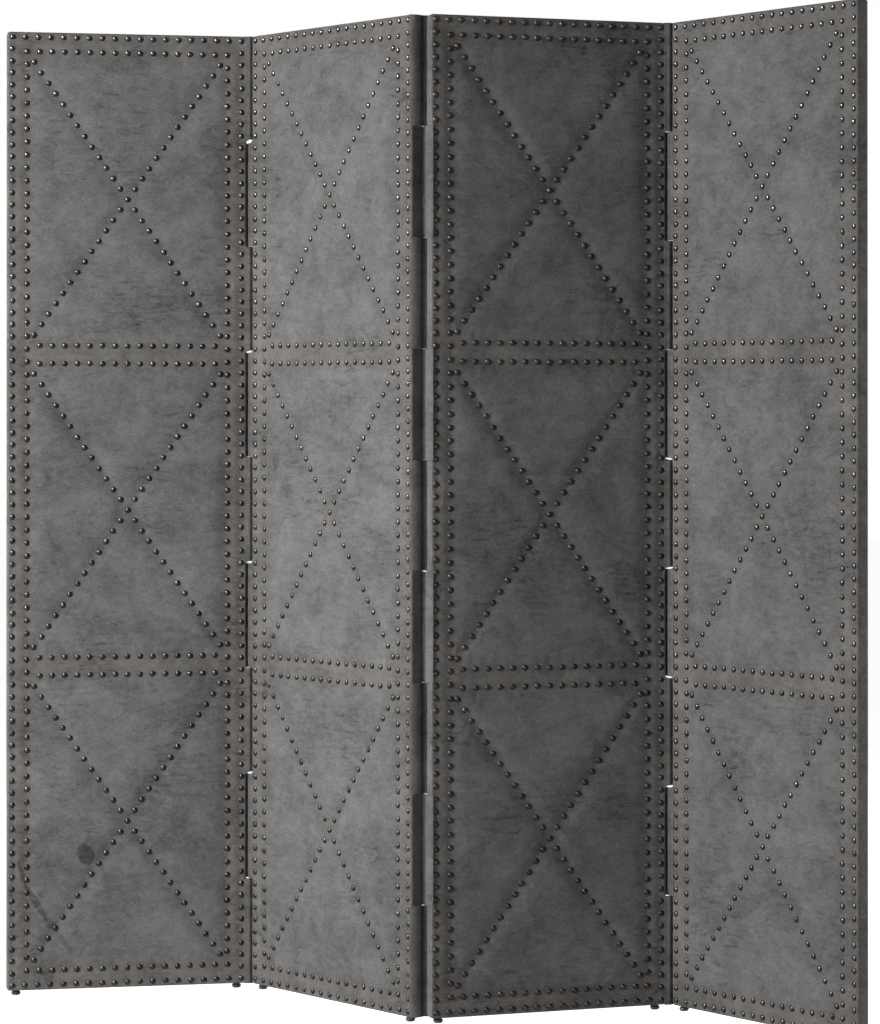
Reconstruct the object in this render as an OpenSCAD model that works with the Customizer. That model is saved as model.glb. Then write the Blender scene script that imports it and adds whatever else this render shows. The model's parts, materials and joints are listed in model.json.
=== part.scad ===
// Folding screen of four upholstered panels, joined by interleaved cloth hinges.
// +Z is up, the row of panels runs along X, and the nailed fronts look towards -Y.
// The origin is on the floor, under the middle of the whole screen.

/* [Panels] */
// Width of one panel
panel_w = 457; // [380:1:600]
// Height of one panel, without its glides
panel_h = 1820; // [1500:1:2100]
// Thickness of one panel over both covers
panel_t = 30; // [29:0.5:42]
// Rounding of the long and short edges of a panel
edge_r = 6; // [3:0.5:8]
// Rounding of the four corners of a panel, seen from the front
corner_r = 6; // [4:0.5:10]

/* [Folds] */
// Turn from flat between the first and second panel, towards the front
fold_12 = 57.5; // [20:0.5:100]
// Turn from flat between the second and third panel, towards the back
fold_23 = 64.5; // [20:0.5:100]
// Turn from flat between the third and fourth panel, towards the front
fold_34 = 66.5; // [20:0.5:100]

/* [Cloth hinges] */
// Gap between two panels that fold to the front, when they stand flat
front_gap = 8; // [6:0.5:10]
// Gap between the two panels that fold to the back, whose hinge sits tighter
back_gap = 5; // [4:0.5:8]
// How far the pivot of a fold to the front lies outside the front faces, so that the nails clear
front_proud = 2; // [1.5:0.25:3]
// How far the pivot of a fold to the back lies outside the back faces
back_proud = 1; // [1:0.25:3]
// Thickness of a hinge strip
strap_t = 2.5; // [1.5:0.25:3]
// Number of strips in one hinge, of the left and right kind in turn
strap_count = 9; // [5:2:15]
// Slit between two strips, one above the other
strap_slit = 4; // [2:0.5:10]
// Running space between the end of a short strip and the pivot roll
strap_play = 0.6; // [0.4:0.1:0.8]

/* [Covers and padding] */
// Thickness of the cloth covers
cover_t = 1.2; // [0.8:0.1:1.6]
// Thickness of the front padding at its crown
pad_t = 4.8; // [4:0.2:8]
// Depth of the channel that a row of nails draws into the front
channel_depth = 2.5; // [1.5:0.25:3]
// Radius of the channel's rounded section
channel_r = 14; // [12:0.5:18]

/* [Frame] */
// Width of the left and right stiles
stile_w = 44; // [40:1:48]
// Width of the top and bottom rails
rail_w = 44; // [40:1:48]
// Width of the two middle rails
middle_rail_w = 62; // [50:1:66]
// Thickness of the front board
front_board_t = 4; // [3:0.5:5]
// Thickness of the back board
back_board_t = 2.8; // [2:0.2:4]

/* [Nails] */
// Diameter of a nail's dome
nail_head_d = 11; // [9:0.5:12]
// Height of a nail's dome
nail_head_h = 3.2; // [2.8:0.1:3.6]
// How far a dome's rim presses into the channel
nail_press = 0.5; // [0.2:0.1:0.8]
// Diameter of a nail's shank
shank_d = 1.6; // [1.2:0.1:2]
// Length of a nail's shank
shank_l = 12; // [10:0.5:14]
// From the panel's edge to the outer border of nails
outer_inset = 10; // [9:0.5:12]
// From the panel's edge to the inner border of nails
inner_inset = 37.5; // [34:0.5:40]
// Between the two rows of a double row across
double_gap = 34; // [28:1:38]
// Spacing of the nails in the upright outer lines
outer_pitch = 22.8; // [20:0.2:30]
// Spacing of the nails in the upright inner lines
inner_pitch = 24.7; // [20:0.2:30]
// Spacing of the nails in the rows across
row_pitch = 24.1; // [20:0.2:30]
// Spacing of the nails in the crosses
cross_pitch = 24; // [20:0.2:30]

/* [Glides] */
// Diameter of a glide
glide_d = 18; // [12:1:22]
// Height of a glide under the panel
glide_h = 9; // [5:0.5:14]
// From the panel's edge to the middle of a glide
glide_inset = 18; // [14:1:22]
// Diameter of a glide's pin
glide_pin_d = 4; // [3:0.5:6]
// Length of a glide's pin
glide_pin_l = 18; // [12:1:30]

/* [Hidden] */
$fn = 48;

PANELS = [1, 2, 3, 4];
JOINTS = [12, 23, 34];
PIECES = ["left_stile", "right_stile", "top_rail", "bottom_rail", "middle_rails", "front_board",
    "back_board", "front_padding", "front_cover", "back_cover", "border_nails", "cross_nails", "glides"];
SIDES = ["left", "right"];

velvet = "#6f7073";
dark_velvet = "#4c4c4e";
timber = "#c9a877";
plywood = "#d8bd8e";
hardboard = "#7a5a3c";
wadding = "#eceae4";
bronze = "#5b5048";
black_plastic = "#242424";

// Depth of each layer behind the front face.
pad_back = cover_t + pad_t;
frame_front = pad_back + front_board_t;
core_back = panel_t - cover_t;
frame_back = core_back - back_board_t;
frame_t = frame_back - frame_front;

// The fields of the three crosses, from corner to corner between the inner lines of nails.
field_count = 3;
field_w = panel_w - 2 * inner_inset;
field_h = (panel_h - 2 * inner_inset - (field_count - 1) * double_gap) / field_count;
field_bottoms = [for (k = [0 : field_count - 1]) inner_inset + k * (field_h + double_gap)];
left_line = inner_inset;
right_line = panel_w - inner_inset;

// Depth of the flat underside of a nail's dome, in its channel.
nail_head_r = nail_head_d / 2;
channel_axis_y = channel_depth - channel_r;
nail_seat_y = channel_axis_y + sqrt(pow(channel_r, 2) - pow(nail_head_r, 2)) + nail_press;
dome_r = (pow(nail_head_r, 2) + pow(nail_head_h, 2)) / (2 * nail_head_h);

strap_pitch = panel_h / strap_count;

// A point of a panel's plan, turned with the panel. A positive turn brings its right end forwards.
function turned(v, a) = [v[0] * cos(a) + v[1] * sin(a), v[1] * cos(a) - v[0] * sin(a)];

// The pivot of a fold towards the front, and of one towards the back, in the plan of the panel to
// its left and of the panel to its right.
front_pivot_left = [panel_w + front_gap / 2, -front_proud];
front_pivot_right = [-front_gap / 2, -front_proud];
back_pivot_left = [panel_w + back_gap / 2, panel_t + back_proud];
back_pivot_right = [-back_gap / 2, panel_t + back_proud];

// Places of the panels' front left edges, with the first panel turned by a.
function turns(a) = [a, a + fold_12, a + fold_12 - fold_23, a + fold_12 - fold_23 + fold_34];
function places(t) =
    let (
        pivot_12 = turned(front_pivot_left, t[0]),
        place_2 = pivot_12 - turned(front_pivot_right, t[1]),
        pivot_23 = place_2 + turned(back_pivot_left, t[1]),
        place_3 = pivot_23 - turned(back_pivot_right, t[2]),
        pivot_34 = place_3 + turned(front_pivot_left, t[2]),
        place_4 = pivot_34 - turned(front_pivot_right, t[3])
    ) [[0, 0], place_2, place_3, place_4];
function far_end(t) = places(t)[3] + turned([panel_w, 0], t[3]);

// The whole row is turned so that the line from its first to its last front edge runs along X.
untrue_end = far_end(turns(0));
panel_turns = turns(atan2(untrue_end[1], untrue_end[0]));
raw_places = places(panel_turns);

// The middle of the screen's box in plan, from the rounded edges of its panels.
edge_centres = [for (x = [edge_r, panel_w - edge_r]) for (y = [edge_r, panel_t - edge_r]) [x, y]];
plan_points = [for (i = [0 : 3]) for (c = edge_centres) raw_places[i] + turned(c, panel_turns[i])];
plan_x = [for (v = plan_points) v[0]];
plan_y = [for (v = plan_points) v[1]];
middle = [(min(plan_x) + max(plan_x)) / 2, (min(plan_y) + max(plan_y)) / 2];
panel_places = [for (v = raw_places) v - middle];
echo(panel_turns = panel_turns, panel_places = panel_places);
echo(box = [max(plan_x) - min(plan_x) + 2 * edge_r, max(plan_y) - min(plan_y) + 2 * edge_r]);
echo(
    pivot_12 = panel_places[0] + turned(front_pivot_left, panel_turns[0]),
    pivot_23 = panel_places[1] + turned(back_pivot_left, panel_turns[1]),
    pivot_34 = panel_places[2] + turned(front_pivot_left, panel_turns[2]));
echo(glide_face = [for (i = [0 : 3]) panel_places[i] + turned([glide_inset, panel_t / 2], panel_turns[i])]);

// Puts what is drawn in a panel's own plan at the panel's place, on top of its glides.
module at_panel(p) {
    translate([panel_places[p - 1][0], panel_places[p - 1][1], glide_h])
        rotate([0, 0, -panel_turns[p - 1]]) children();
}

module rounded_rect(w, h, r) {
    translate([r, 0]) square([w - 2 * r, h]);
    translate([0, r]) square([w, h - 2 * r]);
    for (x = [r, w - r]) for (y = [r, h - r]) translate([x, y]) circle(r);
}

// The panel's rounded block, smaller by inset all round.
module block(inset) {
    w = panel_w - 2 * inset;
    h = panel_h - 2 * inset;
    t = panel_t - 2 * inset;
    r = edge_r - inset;
    translate([inset, inset, inset]) intersection() {
        linear_extrude(h) rounded_rect(w, t, r);
        rotate([90, 0, 90]) linear_extrude(w) rounded_rect(t, h, r);
        translate([0, t, 0]) rotate([90, 0, 0]) linear_extrude(t) rounded_rect(w, h, corner_r - inset);
    }
}

// A layer of the block, from one depth to another.
module layer(inset, front, back) {
    intersection() {
        block(inset);
        translate([0, front, 0]) cube([panel_w, back - front, panel_h]);
    }
}

// A rounded bar along the front, which cuts one channel: upright, across or along a slope.
module channel_bar(from, to, grow) {
    run = to - from;
    translate([from[0], channel_axis_y, from[1]])
        rotate([0, atan2(run[0], run[1]), 0]) cylinder(h = norm(run), r = channel_r + grow);
}

// Channels along the outer and inner border, the double rows and the crosses.
module channels(grow) {
    for (inset = [outer_inset, inner_inset]) {
        right = panel_w - inset;
        top = panel_h - inset;
        corners = [[inset, inset], [right, inset], [right, top], [inset, top]];
        for (k = [0 : 3]) channel_bar(corners[k], corners[(k + 1) % 4], grow);
    }
    for (k = [1 : field_count - 1]) for (z = [field_bottoms[k] - double_gap, field_bottoms[k]])
        channel_bar([left_line, z], [right_line, z], grow);
    for (z = field_bottoms) {
        channel_bar([left_line, z], [right_line, z + field_h], grow);
        channel_bar([right_line, z], [left_line, z + field_h], grow);
    }
}

// Nail places in the plane of the panel.
function steps(length, pitch) = round(length / pitch);
function line(from, to, n, first, last) = [for (k = [first : last]) from + (to - from) * k / n];
function row(inset, z, n, skip) = line([inset, z], [panel_w - inset, z], n, skip, n - skip);
function upright(x, z, n) = line([x, z], [x, panel_h - z], n, 1, n - 1);
function frame_spots(inset, pitch) =
    let (
        across = steps(panel_w - 2 * inset, row_pitch),
        up = steps(panel_h - 2 * inset, pitch)
    ) concat(
        row(inset, inset, across, 0), row(inset, panel_h - inset, across, 0),
        upright(inset, inset, up), upright(panel_w - inset, inset, up));
double_rows = [for (k = [1 : field_count - 1]) for (z = [field_bottoms[k] - double_gap, field_bottoms[k]]) z];
row_steps = steps(field_w, row_pitch);
border_spots = concat(
    frame_spots(outer_inset, outer_pitch),
    frame_spots(inner_inset, inner_pitch),
    [for (z = double_rows) each row(inner_inset, z, row_steps, 1)]);

half_cross_steps = steps(norm([field_w, field_h]) / 2, cross_pitch);
cross_steps = 2 * half_cross_steps;
cross_spots = [for (z = field_bottoms) each concat(
    line([left_line, z], [right_line, z + field_h], cross_steps, 1, cross_steps - 1),
    line([right_line, z], [left_line, z + field_h], cross_steps, 1, half_cross_steps - 1),
    line([right_line, z], [left_line, z + field_h], cross_steps, half_cross_steps + 1, cross_steps - 1))];

// A dome nail whose shank points to the back.
module nail() {
    rotate([-90, 0, 0]) {
        intersection() {
            translate([0, 0, dome_r - nail_head_h]) sphere(dome_r);
            translate([-nail_head_d, -nail_head_d, -nail_head_h]) cube([2 * nail_head_d, 2 * nail_head_d, nail_head_h]);
        }
        cylinder(h = shank_l, d = shank_d);
    }
}

module nails(spots) {
    color(bronze) for (s = spots) translate([s[0], nail_seat_y, s[1]]) nail();
}

module timber_bar(x, z, w, h) {
    color(timber) intersection() {
        block(cover_t);
        translate([x, frame_front, z]) cube([w, frame_t, h]);
    }
}

module left_stile() timber_bar(cover_t, cover_t, stile_w, panel_h - 2 * cover_t);

module right_stile() timber_bar(panel_w - cover_t - stile_w, cover_t, stile_w, panel_h - 2 * cover_t);

module rail(z, h) timber_bar(cover_t + stile_w, z, panel_w - 2 * (cover_t + stile_w), h);

module top_rail() rail(panel_h - cover_t - rail_w, rail_w);

module bottom_rail() rail(cover_t, rail_w);

module middle_rails() {
    for (k = [1 : field_count - 1]) rail(field_bottoms[k] - (double_gap + middle_rail_w) / 2, middle_rail_w);
}

module front_board() color(plywood) layer(cover_t, pad_back, frame_front);

module back_board() color(hardboard) layer(cover_t, frame_back, core_back);

module front_padding() {
    color(wadding) difference() {
        layer(cover_t, cover_t, pad_back);
        channels(cover_t);
    }
}

// The front cover lies over the padding and wraps the four edges as far as the back cover.
module front_cover() {
    color(velvet) difference() {
        layer(0, 0, core_back);
        channels(0);
        difference() {
            block(cover_t);
            channels(cover_t);
        }
    }
}

module back_cover() color(velvet) layer(0, core_back, panel_t);

// Two round glides, each on a pin that is driven up into a stile.
module glides() {
    color(black_plastic) for (x = [glide_inset, panel_w - glide_inset]) translate([x, panel_t / 2, 0]) {
        translate([0, 0, -glide_h]) cylinder(h = glide_h, d = glide_d);
        cylinder(h = glide_pin_l, d = glide_pin_d);
    }
}

// Plan of a hinge, seen from its pivot, with the edge of the panel on the left. The inner face is
// the one that folds inwards, and proud is how far the pivot lies outside it.
roll_r = strap_t / 2;
seat_angle = 30; // how far round the rounded edge a short strip's underside reaches, from sideways
function edge_centre(gap, proud) = [-gap / 2 - edge_r, proud + edge_r];

// A long strip: from the roll on the pivot to the panel's edge face, and along it.
module long_strip_plan(gap, proud) {
    band_x = -gap / 2 + strap_t / 2;
    band_start = edge_centre(gap, proud)[1];
    band_end = panel_t + proud - edge_r;
    circle(roll_r);
    rotate(atan2(-band_x, band_start)) translate([-strap_t / 2, 0]) square([strap_t, norm([band_x, band_start])]);
    translate([band_x, band_start]) circle(strap_t / 2);
    translate([-gap / 2, band_start]) square([strap_t, band_end - band_start]);
}

// A short strip: from the inner face over the rounded edge, as far as the roll on the pivot.
module short_strip_plan(gap, proud) {
    end_x = -roll_r - strap_play;
    centre = edge_centre(gap, proud);
    seat = centre + edge_r * [cos(seat_angle), -sin(seat_angle)];
    difference() {
        polygon([[centre[0], proud], [end_x, -strap_t / 4], [end_x, 3 * strap_t / 4], seat]);
        translate(centre) circle(edge_r);
    }
}

// Strips of one kind, where first is the place of its topmost strip, counted from the top.
module strips(first) {
    for (k = [first : 2 : strap_count - 1])
        translate([0, 0, panel_h - (k + 1) * strap_pitch + strap_slit / 2])
            linear_extrude(strap_pitch - strap_slit) children();
}

// Strips on the panel to the left of a hinge. Those of the left kind, the topmost among them, start
// on the front of the left panel: they are short there in a fold to the front, and long in one to
// the back. The panel to the right of the hinge has the other halves.
module strips_from(long_first, gap, proud) {
    strips(long_first) long_strip_plan(gap, proud);
    strips(1 - long_first) short_strip_plan(gap, proud);
}

module strips_left_of(fold_to_front) {
    color(dark_velvet)
        if (fold_to_front) translate(front_pivot_left) strips_from(1, front_gap, front_proud);
        else translate(back_pivot_left) mirror([0, 1, 0]) strips_from(0, back_gap, back_proud);
}

module strips_right_of(fold_to_front) {
    color(dark_velvet)
        if (fold_to_front) translate(front_pivot_right) mirror([1, 0, 0]) strips_from(0, front_gap, front_proud);
        else translate(back_pivot_right) rotate([0, 0, 180]) strips_from(1, back_gap, back_proud);
}

for (p = PANELS) {
    at_panel(p) left_stile();
    at_panel(p) right_stile();
    at_panel(p) top_rail();
    at_panel(p) bottom_rail();
    at_panel(p) middle_rails();
    at_panel(p) front_board();
    at_panel(p) back_board();
    at_panel(p) front_padding();
    at_panel(p) front_cover();
    at_panel(p) back_cover();
    at_panel(p) nails(border_spots);
    at_panel(p) nails(cross_spots);
    at_panel(p) glides();
}
for (k = [0 : 2]) {
    to_front = k != 1;
    at_panel(PANELS[k]) strips_left_of(to_front);
    at_panel(PANELS[k + 1]) strips_right_of(to_front);
}
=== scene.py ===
# A folding screen of four upholstered panels, with rows of dome nails and cloth hinges
import json
import math

import bpy
import numpy as np
from mathutils import Matrix, Vector, kdtree


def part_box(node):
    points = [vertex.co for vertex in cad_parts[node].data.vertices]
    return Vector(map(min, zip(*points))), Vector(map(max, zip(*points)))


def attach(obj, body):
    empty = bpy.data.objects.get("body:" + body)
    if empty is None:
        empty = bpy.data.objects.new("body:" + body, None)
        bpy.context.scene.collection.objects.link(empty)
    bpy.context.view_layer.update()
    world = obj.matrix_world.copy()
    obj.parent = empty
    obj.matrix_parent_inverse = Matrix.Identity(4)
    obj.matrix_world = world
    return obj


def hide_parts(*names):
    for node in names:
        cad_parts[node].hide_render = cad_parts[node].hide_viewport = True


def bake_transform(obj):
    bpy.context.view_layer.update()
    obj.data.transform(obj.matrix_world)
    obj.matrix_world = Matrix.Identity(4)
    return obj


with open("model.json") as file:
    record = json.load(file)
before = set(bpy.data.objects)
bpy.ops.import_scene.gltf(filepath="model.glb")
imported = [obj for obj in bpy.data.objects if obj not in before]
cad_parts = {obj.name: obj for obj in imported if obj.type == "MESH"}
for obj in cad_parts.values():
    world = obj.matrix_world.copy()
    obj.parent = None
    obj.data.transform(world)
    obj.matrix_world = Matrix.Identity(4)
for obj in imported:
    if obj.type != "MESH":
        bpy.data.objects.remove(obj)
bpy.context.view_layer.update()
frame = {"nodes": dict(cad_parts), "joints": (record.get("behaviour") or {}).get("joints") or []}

# Sizes of one panel, in metres. x runs across it, y from its front to its back, z up from its bottom.
PANELS = (1, 2, 3, 4)
PANEL_W = 0.457
PANEL_T = 0.030
EDGE_R = 0.006
COVER_T = 0.0012
PAD_BACK = 0.006
FRONT_GAP = 0.008
BACK_GAP = 0.005
FRONT_PROUD = 0.002
BACK_PROUD = 0.001
GLIDE_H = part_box("front_cover_1")[0][2]
PANEL_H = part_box("front_cover_1")[1][2] - GLIDE_H

# Rows of nails
OUTER_INSET = 0.010
INNER_INSET = 0.0375
DOUBLE_GAP = 0.034
OUTER_PITCH = 0.0228
INNER_PITCH = 0.0247
ROW_PITCH = 0.0241
CROSS_PITCH = 0.024
FIELDS = 3
FIELD_W = PANEL_W - 2 * INNER_INSET
FIELD_H = (PANEL_H - 2 * INNER_INSET - (FIELDS - 1) * DOUBLE_GAP) / FIELDS
FIELD_BOTTOMS = [INNER_INSET + k * (FIELD_H + DOUBLE_GAP) for k in range(FIELDS)]
LEFT_LINE = INNER_INSET
RIGHT_LINE = PANEL_W - INNER_INSET

# A dome nail: its head in rings, its shank, and how far hand work tips, shifts and sinks it
NAIL_D = 0.011
NAIL_H = 0.0032
NAIL_RIM = 0.0003
NAIL_RINGS = (1.0, 0.80, 0.46)
NAIL_SEAT = 0.00187
SHANK_D = 0.0016
SHANK_L = 0.012
NAIL_TIP = math.radians(2.5)
NAIL_SHIFT = 0.00025
NAIL_SINK = (-0.0001, 0.00015)

# How a row of nails draws the cloth down, and how wide the draw is inside and outside the outer border
CHANNEL_DEPTH = 0.0019
CHANNEL_SPREAD = 0.0115
EDGE_SPREAD = 0.005
DIMPLE_DEPTH = 0.0004
DIMPLE_SPREAD = 0.009

# How far the browner bands reach past the rows of nails beside them
BAND_REACH = 0.004

# Size of the grids of the cloths and the wadding
FRONT_CELL = 0.005
WADDING_CELL = 0.010
BACK_CELL = 0.012

# How the front cloth settles on its padding: where it is held, its slack, and how far it may move
HELD_DIMPLE = 0.64
HELD_RIM = 0.4 * EDGE_R
HELD_SIDE = 0.3 * EDGE_R
CLOTH_SLACK = 0.004
CLOTH_PRESSURE = 4
SETTLE_FRAMES = 10
SETTLE_LIMIT = 0.0014

# Back cloth: its hem at the seam, its crown and its ripples
HEM_H = 0.0004
HEM_W = 0.0012
CROWN_H = 0.0005
CROWN_REACH = 0.05
RIPPLE_H = 0.0002

# Cloth hinges. Open slits are numbered from the top, where slit 1 is under the first strip.
STRIP_COUNT = 9
STRIP_SLIT = 0.0004
OPEN_SLITS = {12: {1: 0.0070, 3: 0.0040, 5: 0.0040, 7: 0.0040},
              23: {5: 0.0020},
              34: {4: 0.0036, 5: 0.0036, 6: 0.0036, 7: 0.0036}}
STRIP_PITCH = PANEL_H / STRIP_COUNT
STRIP_ENDS = [0.0, 0.0006, 0.0018, 0.0036, 0.0065, 0.011]
STRIP_END_R = 0.003
STRIP_PINCH = 0.45
STRIP_WAVE = 0.06
FLAP_INTO_SLIT = 0.8
FLAP_TAPER = 12

# Roll of a strip over the panel's edge: a wide round that changes to a tight one, in metres and degrees
STRIP_PLUMP = 0.0046
ROLL_WIDE = 0.028
ROLL_TIGHT = 0.012
ROLL_CHANGE = 30
ROLL_ANGLES = (0, 8, 16, 24, 32, 42, 52, 62)
ROLL_LIFT = 0.0024
TUCK_ANGLE = 78
TUCK_DEPTH = 0.0006

# Glides
GLIDE_INSET = 0.018


# Joints and the places of the panels

JOINTS = {joint["name"]: joint for joint in frame["joints"]}


def pivot_of(key):
    return Vector(JOINTS[f"fold_{key}"]["pos_m"][:2])


def fold_of(key):
    """How far two panels are folded at rest, from flat."""
    return math.radians(-JOINTS[f"fold_{key}"]["range_deg"][0])


def turned(v, angle):
    """A place in plan, turned clockwise."""
    return Vector((v[0] * math.cos(angle) + v[1] * math.sin(angle),
                   v[1] * math.cos(angle) - v[0] * math.sin(angle)))


def standing_panels():
    """The turn and the place of each panel, from the pivots and folds of the joints."""
    span = pivot_of(23) - pivot_of(12)
    plan = (PANEL_W + (FRONT_GAP + BACK_GAP) / 2, PANEL_T + FRONT_PROUD + BACK_PROUD)
    turns = {2: math.atan2(plan[1], plan[0]) - math.atan2(span[1], span[0])}
    turns[1] = turns[2] - fold_of(12)
    turns[3] = turns[2] - fold_of(23)
    turns[4] = turns[3] + fold_of(34)
    held_at = {1: (12, PANEL_W + FRONT_GAP / 2, -FRONT_PROUD),
               2: (12, -FRONT_GAP / 2, -FRONT_PROUD),
               3: (23, -BACK_GAP / 2, PANEL_T + BACK_PROUD),
               4: (34, -FRONT_GAP / 2, -FRONT_PROUD)}
    stands = {}
    for panel, (key, x, y) in held_at.items():
        place = pivot_of(key) - turned((x, y), turns[panel])
        lift = Matrix.Translation((place[0], place[1], GLIDE_H))
        stands[panel] = lift @ Matrix.Rotation(-turns[panel], 4, "Z")
    return stands


STANDS = standing_panels()


# Rows and nail places in the plane of a panel

def steps(length, pitch):
    return round(length / pitch)


def along(start, end, count, first, last):
    """Places on a line divided in equal steps, from the first to the last of them."""
    start, end = Vector(start), Vector(end)
    return [start + (end - start) * k / count for k in range(first, last + 1)]


def frame_spots(inset, pitch):
    """Nails all round the panel at one inset."""
    across = steps(PANEL_W - 2 * inset, ROW_PITCH)
    up = steps(PANEL_H - 2 * inset, pitch)
    spots = []
    for z in (inset, PANEL_H - inset):
        spots += along((inset, z), (PANEL_W - inset, z), across, 0, across)
    for x in (inset, PANEL_W - inset):
        spots += along((x, inset), (x, PANEL_H - inset), up, 1, up - 1)
    return spots


DOUBLE_ROWS = [z for low in FIELD_BOTTOMS[1:] for z in (low - DOUBLE_GAP, low)]


def border_spots():
    across = steps(FIELD_W, ROW_PITCH)
    spots = frame_spots(OUTER_INSET, OUTER_PITCH) + frame_spots(INNER_INSET, INNER_PITCH)
    for z in DOUBLE_ROWS:
        spots += along((LEFT_LINE, z), (RIGHT_LINE, z), across, 1, across - 1)
    return spots


def cross_spots():
    """Nails of the three crosses, with one nail where two rows meet."""
    half = steps(math.hypot(FIELD_W, FIELD_H) / 2, CROSS_PITCH)
    count = 2 * half
    spots = []
    for z in FIELD_BOTTOMS:
        rising = (LEFT_LINE, z), (RIGHT_LINE, z + FIELD_H)
        falling = (RIGHT_LINE, z), (LEFT_LINE, z + FIELD_H)
        spots += along(*rising, count, 1, count - 1)
        spots += along(*falling, count, 1, half - 1)
        spots += along(*falling, count, half + 1, count - 1)
    return spots


def nail_rows():
    """Each row of nails as a straight line, with the outer border marked."""
    rows = []
    for inset in (OUTER_INSET, INNER_INSET):
        right, top = PANEL_W - inset, PANEL_H - inset
        corners = [(inset, inset), (right, inset), (right, top), (inset, top)]
        rows += [(corners[k], corners[(k + 1) % 4], inset == OUTER_INSET) for k in range(4)]
    rows += [((LEFT_LINE, z), (RIGHT_LINE, z), False) for z in DOUBLE_ROWS]
    for z in FIELD_BOTTOMS:
        rows.append(((LEFT_LINE, z), (RIGHT_LINE, z + FIELD_H), False))
        rows.append(((RIGHT_LINE, z), (LEFT_LINE, z + FIELD_H), False))
    return rows


# Relief of the upholstered front

def distance_to_row(x, z, start, end):
    run = np.array(end) - np.array(start)
    share = ((x - start[0]) * run[0] + (z - start[1]) * run[1]) / run.dot(run)
    share = np.clip(share, 0, 1)
    return np.hypot(x - start[0] - share * run[0], z - start[1] - share * run[1])


def edge_distance(x, z):
    return np.minimum(np.minimum(x, PANEL_W - x), np.minimum(z, PANEL_H - z))


def channel(x, z):
    """From 0 away from the rows of nails to 1 on a row."""
    level = np.ones_like(x)
    outside = edge_distance(x, z) < OUTER_INSET
    for start, end, outer in nail_rows():
        away = distance_to_row(x, z, start, end)
        spread = np.where(outside & outer, EDGE_SPREAD, CHANNEL_SPREAD)
        level *= 1 - np.exp(-(away / spread) ** 2)
    return 1 - level


def dimple(x, z):
    """From 0 away from the nails to 1 under a nail."""
    spots = border_spots() + cross_spots()
    tree = kdtree.KDTree(len(spots))
    for k, spot in enumerate(spots):
        tree.insert((spot[0], spot[1], 0), k)
    tree.balance()
    away = np.array([tree.find((a, b, 0))[2] for a, b in zip(x, z)])
    return np.exp(-(away / DIMPLE_SPREAD) ** 2)


def relief(x, z):
    """How far the front is drawn in."""
    return CHANNEL_DEPTH * channel(x, z) + DIMPLE_DEPTH * dimple(x, z)


# Working with meshes

def only(obj):
    """Makes one object the active and the only selected one."""
    if bpy.context.mode != "OBJECT":
        bpy.ops.object.mode_set(mode="OBJECT")
    bpy.ops.object.select_all(action="DESELECT")
    obj.select_set(True)
    bpy.context.view_layer.objects.active = obj


def added(name):
    obj = bpy.context.active_object
    obj.name = name
    obj.data.name = name
    return obj


def clear_selection():
    if bpy.context.mode != "OBJECT":
        bpy.ops.object.mode_set(mode="OBJECT")
    bpy.ops.object.select_all(action="DESELECT")


def points_of(obj):
    flat = np.empty(len(obj.data.vertices) * 3)
    obj.data.vertices.foreach_get("co", flat)
    return flat.reshape(-1, 3)


def set_points(obj, points):
    obj.data.vertices.foreach_set("co", np.ascontiguousarray(points, dtype=float).ravel())
    obj.data.update()


def apply_modifier(obj, kind, **settings):
    only(obj)
    modifier = obj.modifiers.new(kind.lower(), kind)
    for key, value in settings.items():
        setattr(modifier, key, value)
    bpy.ops.object.modifier_apply(modifier=modifier.name)


def extrude(step):
    bpy.ops.mesh.extrude_region_move(TRANSFORM_OT_translate={"value": step})


def select_open_edges(obj):
    """Opens a mesh for editing with the edges round its holes selected."""
    only(obj)
    bpy.ops.object.mode_set(mode="EDIT")
    bpy.ops.mesh.select_mode(type="EDGE")
    bpy.ops.mesh.select_all(action="DESELECT")
    bpy.ops.mesh.select_non_manifold(extend=False, use_wire=False, use_multi_face=False,
                                     use_non_contiguous=False, use_verts=False)


def close_holes(obj):
    select_open_edges(obj)
    bpy.ops.mesh.edge_face_add()
    bpy.ops.object.mode_set(mode="OBJECT")
    face_outwards(obj)


def turn_faces(obj):
    only(obj)
    bpy.ops.object.mode_set(mode="EDIT")
    bpy.ops.mesh.select_all(action="SELECT")
    bpy.ops.mesh.flip_normals()
    bpy.ops.object.mode_set(mode="OBJECT")


def face_outwards(obj):
    only(obj)
    bpy.ops.object.mode_set(mode="EDIT")
    bpy.ops.mesh.select_all(action="SELECT")
    bpy.ops.mesh.remove_doubles(threshold=1e-6)
    bpy.ops.mesh.normals_make_consistent(inside=False)
    bpy.ops.object.mode_set(mode="OBJECT")


def smooth(obj, degrees=40):
    only(obj)
    bpy.ops.object.shade_smooth_by_angle(angle=math.radians(degrees))


def copy_to(obj, name, matrix):
    """A copy with its own mesh, moved in its mesh."""
    twin = obj.copy()
    twin.data = obj.data.copy()
    twin.name = name
    twin.data.name = name
    twin.data.transform(matrix)
    bpy.context.collection.objects.link(twin)
    return twin


def discard(obj):
    mesh = obj.data
    bpy.data.objects.remove(obj)
    bpy.data.meshes.remove(mesh)


def dress(obj, material):
    obj.data.materials.clear()
    obj.data.materials.append(material)


def set_attribute(obj, name, values):
    layer = obj.data.attributes.new(name, "FLOAT", "POINT")
    layer.data.foreach_set("value", np.ascontiguousarray(values, dtype=np.float32))


def set_uv(obj, uv):
    """A UV map from one flat place for each vertex."""
    mesh = obj.data
    layer = mesh.uv_layers.active
    corners = np.empty(len(mesh.loops), dtype=np.int32)
    mesh.loops.foreach_get("vertex_index", corners)
    layer.data.foreach_set("uv", np.ascontiguousarray(uv[corners], dtype=np.float32).ravel())


# A cloth or pad over the front: a grid whose border is pulled round the edges of the panel

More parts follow.
